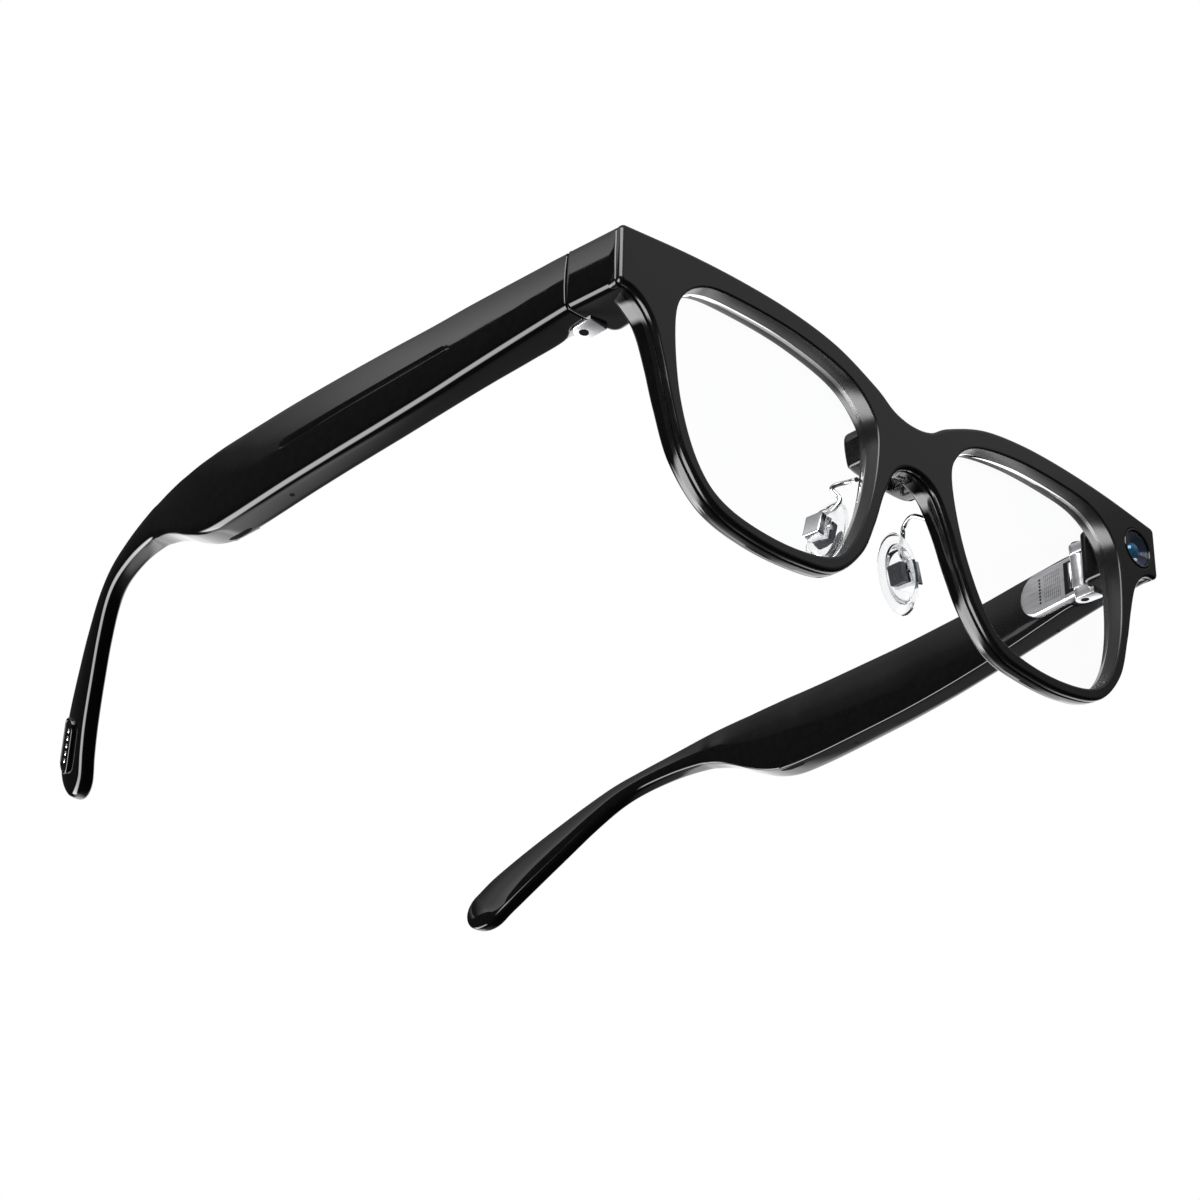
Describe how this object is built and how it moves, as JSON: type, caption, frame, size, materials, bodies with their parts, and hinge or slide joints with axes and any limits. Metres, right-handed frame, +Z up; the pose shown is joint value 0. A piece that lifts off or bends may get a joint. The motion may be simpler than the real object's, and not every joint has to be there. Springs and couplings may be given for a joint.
{
  "type": "smart glasses",
  "caption": "Black smart glasses with a camera in one corner, folding arms, hook tips, metal hinges and clear nose pads.",
  "frame": {"origin": "centre of the footprint, on the table that the rims and arm tips stand on, arms open", "axes": "+X to the wearer's left, +Y back along the arms, +Z up"},
  "size_m": [0.162, 0.189, 0.0503],
  "materials": {
    "black_shell": "polished black",
    "clear_lens": "clear, coated",
    "black_matte": "matte black",
    "circuit_board": "solder mask",
    "light_pipe": "milky",
    "flex_film": "amber film",
    "satin_steel": "satin",
    "bright_steel": "polished",
    "clear_silicone": "clear",
    "dark_steel": "dark",
    "battery_foil": "foil",
    "mesh_black": "black mesh"
  },
  "bodies": {
    "front": {"front_cover": "black_shell", "rear_frame": "black_shell", "left_lens": "clear_lens", "right_lens": "clear_lens", "camera_bezel": "black_shell", "camera_window": "clear_lens", "camera_barrel": "black_matte", "camera_lens": "clear_lens", "camera_sensor": "circuit_board", "privacy_led": "light_pipe", "frame_flex": "flex_film", "left_hinge_bracket": "satin_steel", "right_hinge_bracket": "satin_steel", "left_hinge_pin": "bright_steel", "right_hinge_pin": "bright_steel", "bracket_screws": "bright_steel", "left_pad_arm": "bright_steel", "right_pad_arm": "bright_steel", "left_pad_box": "bright_steel", "right_pad_box": "bright_steel", "left_pad_screw": "bright_steel", "right_pad_screw": "bright_steel"},
    "left_arm": {"left_arm_shell": "black_shell", "left_arm_cover": "black_shell", "left_arm_tip": "black_shell", "left_hinge_leaf": "satin_steel", "left_tip_core": "satin_steel", "left_battery": "battery_foil", "left_speaker": "black_matte", "left_speaker_mesh": "mesh_black", "main_board": "circuit_board", "board_shield": "satin_steel", "wifi_antenna": "flex_film", "left_arm_mic": "satin_steel", "voice_mic": "satin_steel"},
    "right_arm": {"right_arm_shell": "black_shell", "right_arm_cover": "black_shell", "right_arm_tip": "black_shell", "right_hinge_leaf": "satin_steel", "right_tip_core": "satin_steel", "right_battery": "battery_foil", "right_speaker": "black_matte", "right_speaker_mesh": "mesh_black", "side_board": "circuit_board", "right_arm_mic": "satin_steel", "touch_sensor": "flex_film", "button_switch": "satin_steel", "charging_pad": "black_shell", "charging_contacts": "bright_steel"},
    "left_pad": {"left_nose_pad": "clear_silicone", "left_pad_core": "dark_steel"},
    "right_pad": {"right_nose_pad": "clear_silicone", "right_pad_core": "dark_steel"},
    "button": {"capture_button": "black_shell"}
  },
  "joints": [
    {"name": "left_arm_fold", "type": "hinge", "parent": "front", "child": "left_arm", "pos_m": [0.0672, -0.07912, 0.04086], "axis": [-0.1045, 0.0229, 0.9943], "range_deg": [0, 90]},
    {"name": "right_arm_fold", "type": "hinge", "parent": "front", "child": "right_arm", "pos_m": [-0.0672, -0.07912, 0.04086], "axis": [-0.1045, -0.0229, -0.9943], "range_deg": [0, 62]},
    {"name": "left_pad_tilt", "type": "hinge", "parent": "front", "child": "left_pad", "pos_m": [0.01179, -0.08106, 0.01882], "axis": [0.2998, 0.9525, 0.0528], "range_deg": [-5, 5]},
    {"name": "right_pad_tilt", "type": "hinge", "parent": "front", "child": "right_pad", "pos_m": [-0.01179, -0.08106, 0.01882], "axis": [0.2998, -0.9525, -0.0528], "range_deg": [-5, 5]},
    {"name": "capture_press", "type": "slide", "parent": "right_arm", "child": "button", "axis": [0, -0.023, -0.9997], "range_m": [0, 0.0004], "stiffness_N_per_m": 300}
  ]
}
